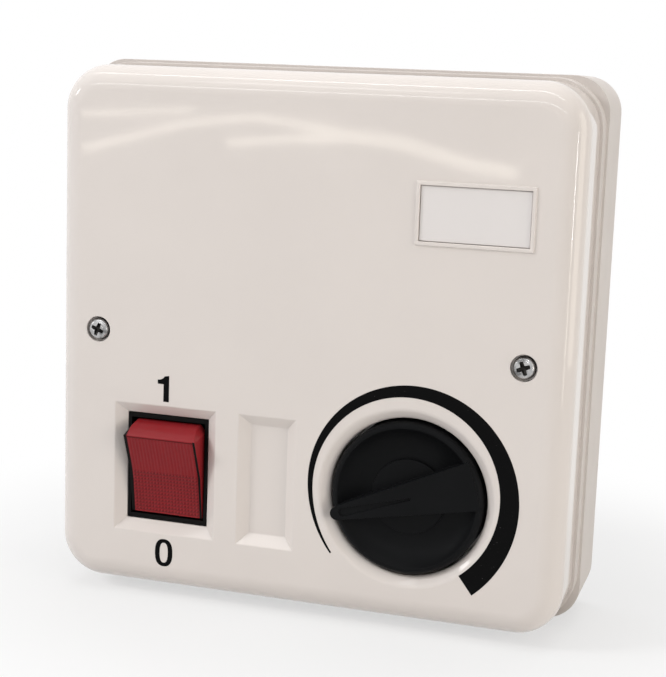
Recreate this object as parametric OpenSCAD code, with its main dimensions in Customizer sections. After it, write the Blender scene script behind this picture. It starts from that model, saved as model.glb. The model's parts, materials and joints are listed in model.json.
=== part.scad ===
// Wall-mounted fan speed controller: a two-piece plastic box with a lit rocker switch, a rotary
// speed knob and the circuit that they work.
// Modules draw in the panel frame: X to the right, Y up and Z out of the wall. on_wall() turns
// that into the part frame, where Z is up, the wall is the plane y = 0 and the front faces -Y.

/* [Enclosure] */
// Width and height of the front cover
cover_w = 145.5; // [136:0.5:170]
// Wall to front face
box_depth = 48; // [46:1:60]
// Front face to the edge of the cover's skirt
cover_depth = 20; // [17:1:22]
// Depth of the band between the cover and the box wall
collar_h = 5; // [3:0.5:6]
// How far the band stands out past the cover
collar_step = 0.8; // [0.4:0.1:1.5]
// How far the box wall stands out past the band
wall_step = 0.8; // [0.4:0.1:1.5]
// How far the box wall draws in towards the back
wall_draft = 0.2; // [0:0.1:2]
// Corner radius of the cover
corner_r = 12.5; // [11.5:0.5:16]
// Corner radius of the box wall
box_corner_r = 10; // [8:0.5:14]
// Radius of the cover's front edge
edge_r = 7; // [4:0.5:8]
// Wall thickness of cover and box
wall_t = 2.5; // [2:0.1:3]
// Thickness of the front face
face_t = 2.5; // [2:0.1:3]
// Thickness of the back
floor_t = 2.5; // [2:0.1:3.5]
// Height of the box's tongue inside the cover
tongue_h = 4; // [2:0.5:6]
// Thickness of that tongue
tongue_t = 1.6; // [1.2:0.1:2]
// Gap between pieces that go together
fit_gap = 0.3; // [0.2:0.05:0.5]

/* [Fixings] */
// Distance between the two cover screws
screw_pitch = 120; // [118:0.5:122]
// Radius of a cover screw's shank
screw_r = 1.75; // [1.5:0.05:2]
// Radius of its pan head
screw_head_r = 3.1; // [2.8:0.1:3.8]
// Height of its pan head
screw_head_h = 2.3; // [1.8:0.1:2.8]
// Length of its shank
screw_len = 26; // [22:1:30]
// Depth of the hollow that the head sits in
screw_sink = 1.6; // [1:0.1:2]
// Radius of the screw bosses
boss_r = 5; // [4.5:0.1:5.5]
// Height of the cover's screw boss, from the front face
boss_h = 12; // [8:0.5:14]
// Distance between the wall fixing holes, both ways
wall_hole_pitch = 114; // [110:1:118]
// Radius of a wall fixing hole
wall_hole_r = 2.25; // [2:0.05:2.75]
// Height of the raised pad round a wall fixing hole
wall_pad_h = 1.5; // [0.5:0.1:2.5]

/* [Name plate] */
// Middle of the plate, to the right of the middle of the face
plate_x = 45.3; // [38:0.1:48]
// Middle of the plate, above the middle of the face
plate_y = 38; // [32:0.5:42]
// Width of the plate's raised frame
plate_frame_w = 31.2; // [26:0.1:36]
// Height of the plate's raised frame
plate_frame_h = 16.5; // [12:0.1:20]
// Width of the frame's rim
plate_rim = 1; // [0.8:0.1:1.5]
// How far the rim stands out of the face
plate_rim_h = 0.5; // [0.3:0.1:1]
// Depth of the pocket behind the face
plate_pocket = 0.9; // [0.6:0.1:1.2]
// Thickness of the plate
plate_t = 0.8; // [0.5:0.1:1.1]

/* [Switch] */
// Middle of the switch, from the middle of the face
switch_x = -39.4; // [-42:0.1:-38]
// Middle of the switch, above the middle of the face
switch_y = -38.3; // [-40:0.1:-34]
// Depth of the bevelled recesses in the face
recess_depth = 2.4; // [1.8:0.1:2.8]
// Width of the bevel round a recess
recess_bevel = 3; // [2:0.1:3.2]
// Width of the switch's flange
flange_w = 24; // [23.4:0.1:25]
// Height of the switch's flange
flange_h = 30.4; // [29.6:0.1:31]
// Thickness of the switch's flange
flange_t = 1.6; // [1.2:0.1:2]
// Width of the switch's body
switch_body_w = 23.2; // [22.8:0.1:23.4]
// Height of the switch's body
switch_body_h = 29; // [28.6:0.1:29.2]
// Depth of the switch's body behind its flange
switch_body_d = 18; // [17:0.5:19]
// Width of the rocker
rocker_w = 21.4; // [18:0.1:21.6]
// Radius of the rocker's ends about its pivot
rocker_r = 13.5; // [12:0.1:13.7]
// Height of the rocker's end ridges above its pivot
rocker_ridge = 6.1; // [5:0.1:6.6]
// How far the rocker's middle dips below its ridges
rocker_dip = 1.5; // [0.8:0.1:2.2]
// Rocker wall thickness
rocker_t = 1.6; // [1.2:0.1:2]
// Depth of the rocker's pivot behind the face
pivot_depth = 5.1; // [4.8:0.1:5.4]
// Radius of the rocker's pivot pins
pivot_r = 1.6; // [1.3:0.1:1.8]
// Rocker angle from level, either way
rocker_tilt = 16; // [12:0.5:17]
// Contact lever angle from level, either way
lever_tilt = 10; // [8:0.5:11]
// Distance between the switch's two poles
pole_pitch = 10; // [9:0.1:10.4]
// Middle of the blank recess beside the switch
blank_x = -9.3; // [-11:0.1:-7]
// Width of the blank recess
blank_w = 16.6; // [14:0.1:17]

/* [Knob] */
// Knob axis, to the right of the middle of the face
knob_x = 30.4; // [29:0.1:32]
// Knob axis, above the middle of the face
knob_y = -38.2; // [-39:0.1:-35]
// Radius of the knob
knob_r = 20.9; // [19:0.1:21]
// Gap round the knob in its well
well_gap = 0.7; // [0.5:0.1:1]
// Width of the slope round the well's mouth
well_lip = 2.6; // [1.5:0.1:2.8]
// Depth of that slope
well_drop = 2.1; // [1.5:0.1:2.4]
// Depth of the well behind the face
well_depth = 12; // [11.5:0.1:12.5]
// Thickness of the well's floor
well_t = 2.2; // [1.8:0.1:2.4]
// Rounding of the knob's rim
knob_rim = 1.75; // [1:0.05:2]
// Radius of the knob's middle disc
knob_disc_r = 10.2; // [8:0.1:11]
// Depth of the middle disc behind the rim
knob_disc_depth = 2.8; // [2:0.1:3.4]
// Depth of the hollow ring between disc and rim
knob_bowl = 4; // [3:0.1:4.5]
// Knob wall thickness
knob_t = 1.8; // [1.4:0.1:2]
// Width of the pointer's rounded tip
pointer_tip_w = 3.7; // [3:0.1:5]
// Width of the pointer at its far end
pointer_far_w = 13.2; // [10:0.1:16]
// Height of the pointer's tip above the face
pointer_rise = 1.9; // [1.5:0.1:4]
// Angle of the pointer from straight up, turning to the right
pointer_angle = -107; // [-132:1:132]

/* [Potentiometer] */
// Shaft radius
shaft_r = 3; // [2.5:0.05:3.2]
// Running clearance of the shaft in its bush
shaft_gap = 0.04; // [0.02:0.01:0.08]
// How far the shaft stands out of the well's floor
shaft_out = 9.2; // [9:0.1:10.5]
// Outer radius of the threaded bush
bush_r = 4.75; // [4.25:0.05:5]
// How far the bush stands out of the well's floor
bush_out = 4.2; // [3.8:0.1:4.6]
// Radius of the potentiometer's can
can_r = 12; // [11:0.1:13]
// Depth of the can
can_d = 8; // [7.6:0.1:8.4]
// Wall thickness of the can
can_t = 0.8; // [0.6:0.1:1]

/* [Circuit board] */
// Width of the board
board_w = 104; // [102:0.5:106]
// Height of the board
board_h = 115; // [113:0.5:116]
// Middle of the board, above the middle of the face
board_y = -8.5; // [-9:0.5:-8]
// Thickness of the board
board_t = 1.6; // [1.2:0.1:2]
// Front face to the front of the board
board_depth = 26; // [25.6:0.1:27]
// Distance of the board's screws from its side edges
board_inset_x = 5; // [4.5:0.1:6]
// Distance of the board's screws from its top and bottom edges
board_inset_y = 5; // [4.5:0.1:5.5]
// Radius of the pillars that carry the board
pillar_r = 3.4; // [3:0.1:3.8]
// Radius of the board screws' shanks
board_screw_r = 1.25; // [1:0.05:1.5]
// Length of the board screws' shanks
board_screw_len = 9; // [7:0.5:12]
// How far soldered pins stand out behind the board
pin_out = 1.5; // [1:0.1:2]
// Clearance of a soldered pin in its hole
pin_gap = 0.1; // [0.05:0.01:0.15]

/* [Power parts] */
// Length of the heat sink
sink_w = 44; // [36:1:46]
// Height of the heat sink
sink_h = 19; // [18:0.5:20]
// Thickness of the heat sink's plate
sink_t = 3; // [2.5:0.1:3.5]
// Length of the heat sink's fins
fin_l = 10; // [6:0.5:11]
// Thickness of a fin
fin_t = 1.5; // [1:0.1:2]
// Number of fins
fin_count = 6; // [4:1:7]
// Inner radius of the choke's core
choke_in = 6; // [5:0.1:7]
// Outer radius of the choke's core
choke_out = 11; // [10:0.1:12]
// Height of the choke's core
choke_h = 8; // [6:0.1:9]
// Radius of the choke's wire
choke_wire = 0.6; // [0.4:0.05:0.7]
// Number of turns on the choke
choke_turns = 16; // [10:1:16]
// Width of the suppression capacitor
cap_w = 26; // [20:0.5:28]
// Thickness of the suppression capacitor
cap_t = 9; // [7:0.5:11]
// Height of the suppression capacitor
cap_h = 16; // [12:0.5:19]
// Radius of the fuse
fuse_r = 2.6; // [2.5:0.05:3]
// Length of the fuse
fuse_l = 20; // [18:0.5:22]

/* [Terminals and entries] */
// Number of terminals
pole_count = 5; // [3:1:5]
// Distance between terminals
terminal_pitch = 10; // [8:0.5:10]
// Height of the terminal block, along the box
terminal_l = 15; // [13:0.5:16]
// Depth of the terminal block behind the board
terminal_d = 13; // [12:0.5:14]
// Middle of the terminal block, above the middle of the face
terminal_y = -48; // [-50:0.5:-46]
// Radius of a wire hole in the terminal block
wire_r = 2; // [1.5:0.1:2.2]
// Distance between the cable entries
entry_pitch = 50; // [40:1:60]
// Radius of a cable entry's hole in the box
entry_r = 8; // [7:0.1:8.5]
// Radius of the hole through a grommet
grommet_bore_r = 4.5; // [3.5:0.1:5]
// Thickness of a grommet's flange
grommet_t = 1.5; // [1:0.1:2]

/* [Hidden] */
$fn = 48;

// Overlap that keeps a cut clear of the face it opens through
over = 1;

// Levels along the box, out of the wall
face_z = box_depth;
inner_z = face_z - face_t;
cover_back = face_z - cover_depth;
collar_back = cover_back - collar_h;
tongue_end = cover_back + tongue_h;
board_front = face_z - board_depth;
board_back = board_front - board_t;
pin_end = board_back - pin_out;

// Outline of the cover and of the box's band, as radii about the cover's corner centres
corner_at = cover_w / 2 - corner_r;
collar_r = corner_r + collar_step;
collar_inner_r = collar_r - wall_t;
tongue_out_r = corner_r - wall_t - fit_gap;
tongue_in_r = tongue_out_r - tongue_t;
inner_edge_r = max(edge_r - wall_t, 1);

// Outline of the box wall, about its own corner centres
box_half = cover_w / 2 + collar_step + wall_step;
box_corner_at = box_half - box_corner_r;
box_inner_r = box_corner_r - wall_draft - wall_t;
shoulder_back = collar_back - wall_t;

// Cover screws and their seats
screw_seat = face_z - screw_sink;
boss_end = face_z - boss_h;
screw_sink_r = screw_head_r + 1.5 * fit_gap;
screw_hole_r = screw_r + fit_gap / 2;
screws_at = [for (side = [-1, 1]) [side * screw_pitch / 2, 0]];
pilot_gap = 0.03;
cross_l = 4.2;
cross_w = 1;
cross_depth = 1.2;
// Share of a pan head's height that its edge rounds off
head_round = 0.6;

// Wall fixing holes
wall_holes = [for (x = [-1, 1], y = [-1, 1]) [x, y] * wall_hole_pitch / 2];
wall_pad_rim = 3.4;

// Name plate
plate_at = [plate_x, plate_y];
plate_w = plate_frame_w - 2 * plate_rim;
plate_h = plate_frame_h - 2 * plate_rim;

// Switch, worked out from its flange and pivot
switch_at = [switch_x, switch_y];
blank_at = [blank_x, switch_y];
window_w = flange_w + fit_gap;
window_h = flange_h + fit_gap;
cutout_w = switch_body_w + fit_gap;
cutout_h = switch_body_h + fit_gap / 2;
flange_front = face_z - recess_depth;
flange_back = flange_front - flange_t;
switch_back = flange_back - switch_body_d;
recess_w = window_w + 2 * recess_bevel;
recess_h = window_h + 2 * recess_bevel;
switch_pad_t = 1.8;
switch_pad_h = inner_z - flange_back + switch_pad_t;
switch_floor = 2;
pivot_z = face_z - pivot_depth;
rocker_gap = 0.35;
cavity_gap = 1;
rocker_skirt = 2.5;
ridge_u = sqrt(pow(rocker_r, 2) - pow(rocker_ridge, 2));
corner_leg = 0.05;
corner_turn = 30;
corner_lean = 3.3;
cavity_w = rocker_w + 2 * fit_gap;
cavity_h = 2 * (rocker_r + rocker_gap);
cavity_back = pivot_z - rocker_r * sin(rocker_tilt) - rocker_skirt - rocker_gap - cavity_gap;
hub_u = 2.6;
hub_low = 6;
plunger_r = 1.2;
plunger_reach = 9;
plunger_top = 3.5;
spring_wire = 0.22;
spring_turns = 4;
spring_rings = 8;
tube_sides = 6;
lever_t = 0.8;
lever_rise = 12;
lever_w = 5;
lever_l = 9;
lever_pin_r = 0.9;
lever_drop = plunger_reach + fit_gap + lever_t / cos(lever_rise);
lever_z = pivot_z - lever_drop;
rivet_r = 1.2;
rivet_h = 0.8;
chamber_gap = 0.7;
chamber_w = lever_w + 2 * chamber_gap;
chamber_l = 2 * (lever_l + rivet_r + chamber_gap);
chamber_back = switch_back + switch_floor;
blade_w = 4.6;
blade_t = 0.8;
poles = [for (side = [-1, 1]) side * pole_pitch / 2];
lamp_r = 2;
lamp_l = 10;

// Knob, well and potentiometer along the knob's axis
knob_at = [knob_x, knob_y, 0];
well_r = knob_r + well_gap;
cup_r = well_r + well_lip;
well_floor = face_z - well_depth;
well_back = well_floor - well_t;
knob_lift = 1;
knob_back = well_floor + knob_lift;
knob_crest_r = knob_r - knob_rim;
knob_hub_r = 6;
disc_groove_w = 1;
groove_wall = 0.7;
groove_depth = 0.6;
bush_end = well_floor + bush_out;
ring_t = 0.6;
ring_w = 1.4;
ring_mouth = 4.2;
hub_back = bush_end + ring_t + fit_gap;
shaft_end = well_floor + shaft_out;
shaft_flat = 0.75;
washer_r = 8;
washer_t = 0.8;
nut_r = 7.2;
nut_t = 2.6;
can_back = well_back - can_d;
track_t = 1.2;
wiper_z = can_back + track_t + fit_gap;
wiper_t = 1;
wiper_gap = 2;
collet_t = 0.8;
bush_flange_r = 6.5;
shaft_back = wiper_z + wiper_t / 2;
pot_pin_out = 1.2;
pot_pin_y = can_r + pot_pin_out;
pot_pin_pitch = 5;
pot_pin_w = 1.2;
pot_pin_t = 0.6;

// Board, its pillars and what stands on it
pillars = [
    for (side = [-1, 1], end = [-1, 1])
    [side * (board_w / 2 - board_inset_x), board_y + end * (board_h / 2 - board_inset_y)]
];
pillar_hole = board_screw_len + over;
board_head_r = 2.5;
board_head_h = 1.75;
slot_w = 0.8;
slot_depth = 0.7;
sink_at = [-20, 30];
lead_r = 0.4;
lead_pitch = 2.54;
tab_w = 10;
tab_t = 1.3;
tab_h = 15;
triac_body_t = 3.2;
triac_body_h = 9;
triac_lift = 3;
tab_hole_lift = 3.2;
triac_y = sink_at[1] - sink_t / 2;
triac_screw_z = board_front + triac_lift + triac_body_h + tab_hole_lift;
triac_screw_r = 1.5;
triac_head_r = 2.7;
triac_head_h = 1.8;
choke_at = [28, 26];
choke_base = board_front + 2 * choke_wire + 2 * fit_gap;
cap_at = [-35, 8];
fuse_at = [4, 6];
fuse_lift = 4;
fuse_z = board_front + fuse_lift + fuse_r;
clip_w = 5;
clip_wall = 0.6;
resistor_r = 1.6;
resistor_l = 8;
resistors_at = [[30, 6], [30, 0], [44, 3]];
timer_at = [7, 20];
timer_size = [8, 4, 9];
trimmer_at = [-20, 10];
trimmer_w = 10;
trimmer_d = 5;
rotor_r = 3.2;
rotor_gap = 0.06;
rotor_slot_l = 5;

// Terminals and cable entries
terminal_x = [for (i = [0 : pole_count - 1]) (i - (pole_count - 1) / 2) * terminal_pitch];
terminal_back = board_back - terminal_d;
terminal_wall = 1.2;
wire_z = terminal_back + terminal_d / 2;
clamp_gap = 0.1;
entry_z = collar_back / 2;
entry_rim = 2.4;
entry_pad_r = entry_r + entry_rim;
entry_out = box_half;
entry_in = box_corner_at + box_inner_r;
entries = [for (side = [-1, 1]) side * entry_pitch / 2];

// From the panel frame to the part frame
module on_wall() rotate([90, 0, 0]) children();

// A block standing on a level, centred on a point of the panel
module block(size, at, z) translate([at[0] - size[0] / 2, at[1] - size[1] / 2, z]) cube(size);

// A round post standing on a level
module post(r, h, at, z) translate([at[0], at[1], z]) cylinder(r = r, h = h);

// A round bar along X, centred
module cross_bar(r, l) rotate([0, 90, 0]) cylinder(r = r, h = l, center = true);

// A profile of Y and Z carried along X, centred
module along_x(l) rotate([90, 0, 90]) linear_extrude(height = l, center = true) children();

// A half section, measured out from the corner centres, carried round the box
module round_the_box(at) {
    for (turn = [0 : 90 : 270]) rotate([0, 0, turn]) translate([at, at, 0]) {
        rotate_extrude(angle = 90) children();
        rotate([90, 0, 0]) linear_extrude(height = 2 * at) children();
    }
}

// The same, with the middle filled between two levels
module rounded_block(at, low, high) {
    round_the_box(at) children();
    block([2 * at, 2 * at, high - low], [0, 0], low);
}

// Half section of a slab whose outer front edge is rounded
module rounded_section(r, back, front, edge) {
    translate([0, back]) square([r - edge, front - back]);
    translate([0, back]) square([r, front - edge - back]);
    translate([r - edge, front - edge]) quarter_disc(edge);
}
module quarter_disc(r) intersection() {
    circle(r = r);
    square(r);
}

// Recess with sloping sides, sunk from the level z = 0
module bevelled_recess(w, h, bevel, depth) {
    flare = bevel / depth * over;
    intersection() {
        along_x(2 * w) slope_section(h / 2, bevel, depth, flare);
        rotate([0, 0, 90]) along_x(2 * h) slope_section(w / 2, bevel, depth, flare);
    }
}
module slope_section(half, bevel, depth, flare) {
    polygon([
        [-half + bevel, -depth], [half - bevel, -depth],
        [half + flare, over], [-half - flare, over]
    ]);
}

// The box that goes on the wall
module base_box() color("gainsboro") on_wall() difference() {
    union() {
        difference() {
            union() {
                rounded_block(box_corner_at, 0, collar_back) wall_section();
                rounded_block(corner_at, shoulder_back, tongue_end) band_section();
            }
            rounded_block(box_corner_at, floor_t, shoulder_back) wall_hollow();
            rounded_block(corner_at, shoulder_back - over, tongue_end + over) band_hollow();
        }
        for (at = screws_at) post(boss_r, boss_end - floor_t, at, floor_t);
        for (at = wall_holes) post(wall_hole_r + wall_pad_rim, wall_pad_h, at, floor_t);
        for (x = entries) translate([x, -entry_in, entry_z]) rotate([90, 0, 0]) {
            cylinder(r = entry_pad_r, h = entry_out - entry_in);
        }
    }
    for (at = screws_at) post(screw_r + pilot_gap, boss_end, at, 2 * floor_t);
    for (at = wall_holes) post(wall_hole_r, floor_t + wall_pad_h + 2 * over, at, -over);
    for (x = entries) translate([x, over - entry_in, entry_z]) rotate([90, 0, 0]) {
        cylinder(r = entry_r, h = entry_out - entry_in + 2 * over);
    }
}
module wall_section() {
    polygon([[0, 0], [box_corner_r - wall_draft, 0], [box_corner_r, collar_back], [0, collar_back]]);
}
module wall_hollow() translate([0, floor_t]) square([box_inner_r, shoulder_back - floor_t]);
module band_section() {
    polygon([
        [0, shoulder_back], [collar_r, shoulder_back], [collar_r, cover_back],
        [tongue_out_r, cover_back], [tongue_out_r, tongue_end], [0, tongue_end]
    ]);
}
module band_hollow() {
    polygon([
        [0, shoulder_back - over], [collar_inner_r, shoulder_back - over], [collar_inner_r, collar_back],
        [tongue_in_r, cover_back], [tongue_in_r, tongue_end + over], [0, tongue_end + over]
    ]);
}

// The front cover, with its recesses, well, bosses and pillars
module front_cover() color("linen") on_wall() difference() {
    union() {
        difference() {
            union() {
                cover_shell();
                block([recess_w, recess_h, switch_pad_h], switch_at, inner_z - switch_pad_h);
                block([blank_w, recess_h, recess_depth], blank_at, inner_z - recess_depth);
                block([plate_frame_w, plate_frame_h, plate_pocket], plate_at, inner_z - plate_pocket);
                block([plate_frame_w, plate_frame_h, plate_rim_h], plate_at, face_z);
            }
            post(cup_r, face_t + 2 * over, knob_at, inner_z - over);
        }
        translate(knob_at) rotate_extrude() well_section();
        for (at = screws_at) post(boss_r, inner_z - boss_end, at, boss_end);
        for (at = pillars) post(pillar_r, inner_z - board_front, at, board_front);
    }
    translate([switch_x, switch_y, face_z]) bevelled_recess(recess_w, recess_h, recess_bevel, recess_depth);
    block([window_w, window_h, flange_t + over], switch_at, flange_back);
    block([cutout_w, cutout_h, switch_pad_t + 2 * over], switch_at, flange_back - switch_pad_t - over);
    translate([blank_x, switch_y, face_z]) bevelled_recess(blank_w, recess_h, recess_bevel, recess_depth);
    block([plate_w, plate_h, plate_pocket + plate_rim_h + over], plate_at, face_z - plate_pocket);
    for (at = screws_at) {
        post(screw_sink_r, screw_sink + over, at, screw_seat);
        post(screw_hole_r, boss_h + 2 * over, at, boss_end - over);
    }
    for (at = pillars) post(board_screw_r + pilot_gap, pillar_hole + over, at, board_front - over);
}
module cover_shell() {
    round_the_box(corner_at) difference() {
        rounded_section(corner_r, cover_back, face_z, edge_r);
        rounded_section(corner_r - wall_t, cover_back - over, inner_z, inner_edge_r);
    }
    block([2 * corner_at, 2 * corner_at, face_t], [0, 0], inner_z);
}
module well_section() {
    bush_hole = bush_r + fit_gap / 2;
    translate([bush_hole, well_back]) square([cup_r - bush_hole, well_t]);
    slope_z = face_z - well_drop;
    translate([well_r, well_floor]) square([well_lip, slope_z - well_floor]);
    polygon([[well_r, slope_z], [cup_r, slope_z], [cup_r, face_z]]);
}

// Two pan-head screws with a cross recess
module cover_screws() color("silver") on_wall() {
    for (at = screws_at) translate([at[0], at[1], screw_seat]) difference() {
        rotate_extrude() pan_head_section(screw_r, screw_len, screw_head_r, screw_head_h);
        block([cross_l, cross_w, cross_depth + over], [0, 0], screw_head_h - cross_depth);
        block([cross_w, cross_l, cross_depth + over], [0, 0], screw_head_h - cross_depth);
    }
}
module pan_head_section(r, l, head_r, head_h) {
    translate([0, -l]) square([r, l]);
    rounded_section(head_r, 0, head_h, head_round * head_h);
}

// Plain plate in the raised frame
module name_plate() color("ghostwhite") on_wall() {
    block([plate_w - fit_gap, plate_h - fit_gap, plate_t], plate_at, face_z - plate_pocket);
}

// Rubber grommets in the bottom wall
module cable_grommets() color("dimgray") on_wall() {
    for (x = entries) translate([x, -entry_out - grommet_t, entry_z]) rotate([-90, 0, 0]) {
        rotate_extrude() grommet_section();
    }
}
module grommet_section() {
    neck_h = entry_out - entry_in;
    length = neck_h + 2 * grommet_t;
    inner_lip_r = entry_z - floor_t - fit_gap;
    translate([grommet_bore_r, 0]) {
        square([entry_pad_r - fit_gap - grommet_bore_r, grommet_t]);
        square([entry_r - pin_gap - grommet_bore_r, length]);
        translate([0, neck_h + grommet_t]) square([inner_lip_r - grommet_bore_r, grommet_t]);
    }
}

// Switch body with its flange, the rocker's cavity and a chamber for each pole
module switch_housing() color("black") on_wall() {
    translate([switch_x, switch_y, 0]) difference() {
        union() {
            block([flange_w, flange_h, flange_t], [0, 0], flange_back);
            block([switch_body_w, switch_body_h, switch_body_d], [0, 0], switch_back);
        }
        block([cavity_w, cavity_h, flange_front - cavity_back + over], [0, 0], cavity_back);
        for (x = poles) {
            block([chamber_w, chamber_l, cavity_back - chamber_back + over], [x, 0], chamber_back);
            for (y = [0, -lever_l]) {
                block([blade_w + pin_gap, blade_t + pin_gap, chamber_back], [x, y], switch_back - over);
            }
        }
        translate([0, 0, pivot_z]) cross_bar(pivot_r + shaft_gap, switch_body_w + 2 * over);
    }
}

// Rocker at rest: its lower end is pressed in
module at_rocker() translate([switch_x, switch_y, pivot_z]) rotate([rocker_tilt, 0, 0]) children();
module rocker() color("firebrick") on_wall() at_rocker() {
    hollow_w = rocker_w - 2 * rocker_t;
    difference() {
        union() {
            difference() {
                intersection() {
                    along_x(rocker_w) rocker_section();
                    cross_bar(rocker_r, rocker_w);
                }
                along_x(hollow_w) rocker_hollow();
            }
            block([hollow_w + rocker_t, 2 * hub_u, hub_low + rocker_ridge - rocker_dip - rocker_t / 2],
                [0, 0], -hub_low);
            cross_bar(pivot_r, switch_body_w - fit_gap);
        }
        for (x = poles) post(plunger_r + shaft_gap, hub_low + rocker_t + over, [x, 0], -hub_low - over);
        for (x = [0, 1], y = [0, 1]) mirror([x, 0, 0]) mirror([0, y, 0]) rocker_corner();
    }
}
// Slanting cut at a corner, which starts at the ridge and widens towards the back
module rocker_corner() {
    translate([rocker_w / 2 - corner_leg, ridge_u, rocker_ridge]) rotate([0, corner_lean, corner_turn]) {
        translate([0, -rocker_r, -rocker_r]) cube(2 * rocker_r);
    }
}
module rocker_section() {
    polygon([
        [-rocker_r, -rocker_skirt], [rocker_r, -rocker_skirt], [rocker_r, rocker_ridge + rocker_end_rise()],
        [0, rocker_ridge - rocker_dip], [-rocker_r, rocker_ridge + rocker_end_rise()]
    ]);
}
function rocker_end_rise() = (rocker_r - ridge_u) * rocker_dip / ridge_u;
module rocker_hollow() {
    u = rocker_r - rocker_t;
    top = rocker_ridge - rocker_dip - rocker_t;
    polygon([
        [-u, -rocker_skirt - over], [u, -rocker_skirt - over], [u - rocker_t, top + rocker_dip / 2],
        [0, top], [-u + rocker_t, top + rocker_dip / 2]
    ]);
}

// Spring-loaded plungers under the rocker's pivot
module contact_plungers() color("ivory") on_wall() at_rocker() {
    for (x = poles) translate([x, 0, plunger_r - plunger_reach]) {
        sphere(r = plunger_r);
        cylinder(r = plunger_r, h = plunger_reach - plunger_r - plunger_top);
    }
}

// Coil springs in the hub, pressing the plungers down
module plunger_springs() color("silver") on_wall() at_rocker() {
    coil_r = plunger_r - spring_wire - pin_gap;
    low = -plunger_top + spring_wire + pin_gap / 2;
    high = rocker_t - spring_wire - pin_gap / 2;
    count = spring_turns * spring_rings;
    path = [for (i = [0 : count])
        let (a = 360 * i / spring_rings)
        [coil_r * cos(a), coil_r * sin(a), low + (high - low) * i / count]
    ];
    for (x = poles) translate([x, 0, 0]) tube(path, spring_wire, tube_sides);
}

// Round tube along a path, as one closed solid
module tube(path, r, sides) {
    last = len(path) - 1;
    rings = [for (i = [0 : last]) ring_points(path, i, last, r, sides)];
    points = [for (ring = rings, p = ring) p];
    skin = [for (i = [0 : last - 1], k = [0 : sides - 1]) each
        let (a = i * sides + k, b = i * sides + (k + 1) % sides)
        [[a, b + sides, b], [a, a + sides, b + sides]]
    ];
    tail = last * sides;
    ends = [for (k = [1 : sides - 2]) each [[0, k, k + 1], [tail, tail + k + 1, tail + k]]];
    polyhedron(points = points, faces = concat(skin, ends));
}
function unit(v) = v / norm(v);
function ring_points(path, i, last, r, sides) =
    let (
        along = unit(path[min(i + 1, last)] - path[max(i - 1, 0)]),
        side = unit(cross(along, abs(along[2]) < 0.9 ? [0, 0, 1] : [1, 0, 0])),
        up = cross(side, along)
    )
    [for (k = [0 : sides - 1]) path[i] + r * (cos(360 * k / sides) * side + sin(360 * k / sides) * up)];

// Rocking contact levers, one to a pole, at rest with the lower end raised
module contact_levers() color("goldenrod") on_wall() {
    rise = lever_l * tan(lever_rise);
    t = lever_t / cos(lever_rise);
    for (x = poles) translate([switch_x + x, switch_y, lever_z]) rotate([-lever_tilt, 0, 0]) {
        along_x(lever_w) polygon([
            [0, 0], [lever_l, rise], [lever_l, rise + t],
            [0, t], [-lever_l, rise + t], [-lever_l, rise]
        ]);
        cross_bar(lever_pin_r, lever_w);
        translate([0, rivet_r - lever_l, rise - rivet_h - rivet_r * tan(lever_rise)]) {
            cylinder(r = rivet_r, h = rivet_h + lever_t / 2);
        }
    }
}

// Blades soldered to the board: a cradle for each lever and a fixed contact below its lower end
module switch_terminals() color("gold") on_wall() {
    cradle_l = 2 * (lever_pin_r + lever_t);
    contact_z = lever_z - rivet_h - 2 * fit_gap;
    for (x = poles) translate([switch_x + x, switch_y, 0]) {
        block([blade_w, blade_t, chamber_back - pin_end], [0, 0], pin_end);
        difference() {
            block([blade_w, cradle_l, lever_z - fit_gap - chamber_back], [0, 0], chamber_back);
            translate([0, 0, lever_z]) cross_bar(lever_pin_r + shaft_gap, blade_w + 2 * over);
        }
        block([blade_w, blade_t, chamber_back - pin_end], [0, -lever_l], pin_end);
        block([blade_w, 2 * rivet_r, contact_z - chamber_back], [0, rivet_r - lever_l], chamber_back);
    }
}

// Lamp that lights the rocker
module neon_lamp() color("orange") on_wall() at_rocker() {
    translate([0, hub_u + lamp_r + pin_gap, 0]) {
        cross_bar(lamp_r, lamp_l);
        for (side = [-1, 1]) translate([side * lamp_l / 2, 0, 0]) sphere(r = lamp_r);
    }
}

// Speed knob: a hollow dial with a wedge-shaped pointer
module at_knob() translate(knob_at) rotate([0, 0, 90 - pointer_angle]) children();
module knob() color("black") on_wall() at_knob() difference() {
    union() {
        rotate_extrude() knob_section();
        intersection() {
            pointer();
            post(knob_r + pointer_rise, face_z, [0, 0], knob_back + knob_t);
        }
    }
    difference() {
        post(shaft_r + shaft_gap, shaft_end + fit_gap - hub_back + over, [0, 0], hub_back - over);
        shaft_flat_side(shaft_gap, hub_back);
    }
}
module knob_section() {
    bowl_low = face_z - knob_bowl;
    hollow_top = bowl_low - knob_t;
    bowl_in = knob_disc_r + disc_groove_w;
    bowl_run = knob_crest_r - bowl_in;
    bowl_lift = (pow(bowl_run, 2) - pow(knob_bowl, 2)) / (2 * knob_bowl);
    difference() {
        rounded_section(knob_r, knob_back, face_z, knob_rim);
        translate([-over, face_z - knob_disc_depth]) square([over + bowl_in, knob_disc_depth + over]);
        translate([knob_disc_r, bowl_low]) square([disc_groove_w, knob_bowl + over]);
        intersection() {
            translate([bowl_in, face_z + bowl_lift]) circle(r = knob_bowl + bowl_lift);
            translate([bowl_in, bowl_low - over]) square([knob_r, knob_bowl + 2 * over]);
        }
        translate([knob_hub_r, knob_back - over]) {
            square([knob_r - knob_t - knob_hub_r, hollow_top - knob_back + over]);
        }
        translate([-over, knob_back - over]) square([knob_hub_r + 2 * over, hub_back - knob_back + over]);
    }
}
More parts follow.
